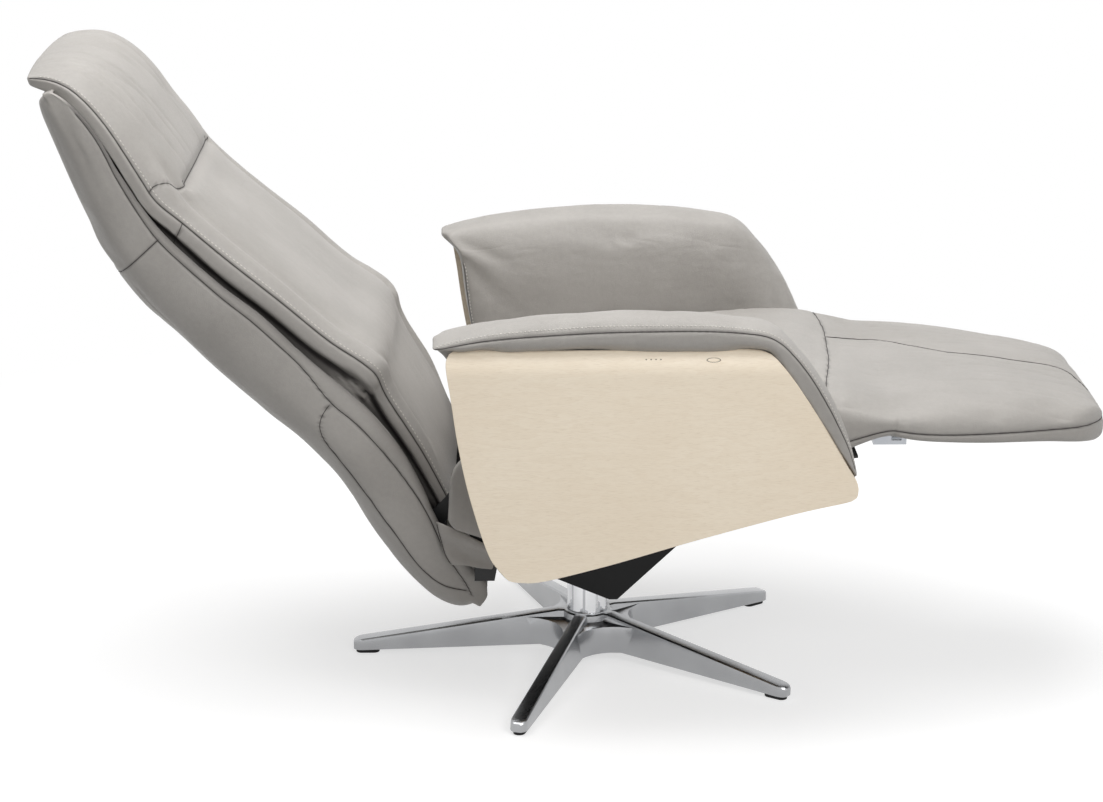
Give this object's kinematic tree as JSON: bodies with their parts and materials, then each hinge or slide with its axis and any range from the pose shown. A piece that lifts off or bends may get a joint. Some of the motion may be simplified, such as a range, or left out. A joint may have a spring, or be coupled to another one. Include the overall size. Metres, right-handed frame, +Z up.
{
  "type": "star base swivel recliner",
  "caption": "Leather recliner on a swivelling aluminium star base, with bent wood arm panels, a tilting headrest, and a back and leg rest moved by electric drives.",
  "frame": {"origin": "on the floor, on the vertical axis that the chair swivels about, at the middle of the star base", "axes": "+X towards the sitter's feet, +Y to the sitter's left, +Z up"},
  "size_m": [1.505, 0.736, 0.9121],
  "materials": {
    "polished_aluminium": "satin",
    "chrome_tube": "polished",
    "leather": "satin",
    "birch_veneer": "satin",
    "plywood": "matte",
    "black_plastic": "matte",
    "black_steel": "satin",
    "zinc_steel": "satin",
    "bronze": "satin",
    "webbing": "matte"
  },
  "bodies": {
    "base": {"star_base": "polished_aluminium", "glide_1": "black_plastic", "glide_2": "black_plastic", "glide_3": "black_plastic", "glide_4": "black_plastic", "glide_5": "black_plastic", "column_tube": "chrome_tube", "column_cap": "black_plastic", "lower_bush": "bronze", "upper_bush": "bronze", "thrust_washer": "zinc_steel"},
    "seat": {"swivel_spindle": "zinc_steel", "swivel_plate": "black_steel", "mechanism_plate_left": "black_steel", "mechanism_plate_right": "black_steel", "swivel_bolt_front_left": "zinc_steel", "swivel_bolt_front_right": "zinc_steel", "swivel_bolt_rear_left": "zinc_steel", "swivel_bolt_rear_right": "zinc_steel", "front_cross_tube": "black_steel", "rear_cross_tube": "black_steel", "frame_side_left": "plywood", "frame_side_right": "plywood", "spring_deck": "webbing", "arm_panel_left": "birch_veneer", "arm_panel_right": "birch_veneer", "arm_pad_left": "leather", "arm_pad_right": "leather", "arm_rail_left": "plywood", "arm_rail_right": "plywood", "seat_cushion": "leather", "seat_bullnose": "leather", "seat_corner_left": "leather", "seat_corner_right": "leather", "leg_hinge_bracket_left": "black_steel", "leg_hinge_bracket_right": "black_steel", "back_hinge_plate_left": "black_steel", "back_hinge_plate_right": "black_steel", "under_seat_cover": "black_plastic", "back_drive_motor": "black_plastic", "leg_drive_motor": "black_plastic", "control_box": "black_plastic", "battery_pack": "black_plastic"},
    "back": {"back_shell": "leather", "back_cushion": "leather", "back_frame": "black_steel", "back_panel": "plywood"},
    "head": {"head_cushion": "leather", "head_frame": "black_steel"},
    "leg_rest": {"footrest_board": "plywood", "footrest_pad": "leather", "leg_arm_left": "black_steel", "leg_arm_right": "black_steel", "leg_hinge_bar": "zinc_steel", "leg_lever": "black_steel"},
    "back_rod": {"back_drive_rod": "zinc_steel"},
    "leg_rod": {"leg_drive_rod": "zinc_steel"}
  },
  "joints": [
    {"name": "seat_swivel", "type": "hinge", "parent": "base", "child": "seat", "pos_m": [0, 0, 0.1], "axis": [0, 0, 1], "continuous": true},
    {"name": "back_recline", "type": "hinge", "parent": "seat", "child": "back", "pos_m": [-0.18, 0, 0.325], "axis": [0, 1, 0], "range_deg": [0, 25]},
    {"name": "headrest_tilt", "type": "hinge", "parent": "back", "child": "head", "pos_m": [-0.577, 0, 0.753], "axis": [0, 1, 0], "range_deg": [0, 30]},
    {"name": "legrest_swing", "type": "hinge", "parent": "seat", "child": "leg_rest", "pos_m": [0.413, 0, 0.394], "axis": [0, 1, 0], "range_deg": [0, 85]},
    {"name": "back_drive", "type": "slide", "parent": "seat", "child": "back_rod", "axis": [-1, 0, 0], "range_m": [0, 0.053]},
    {"name": "leg_drive", "type": "slide", "parent": "seat", "child": "leg_rod", "axis": [-1, 0, 0], "range_m": [0, 0.082]}
  ],
  "couplings": [
    {"joint": "back_drive", "follows": "back_recline", "m_per_rad": 0.11918},
    {"joint": "leg_drive", "follows": "legrest_swing", "m_per_rad": 0.0546}
  ]
}
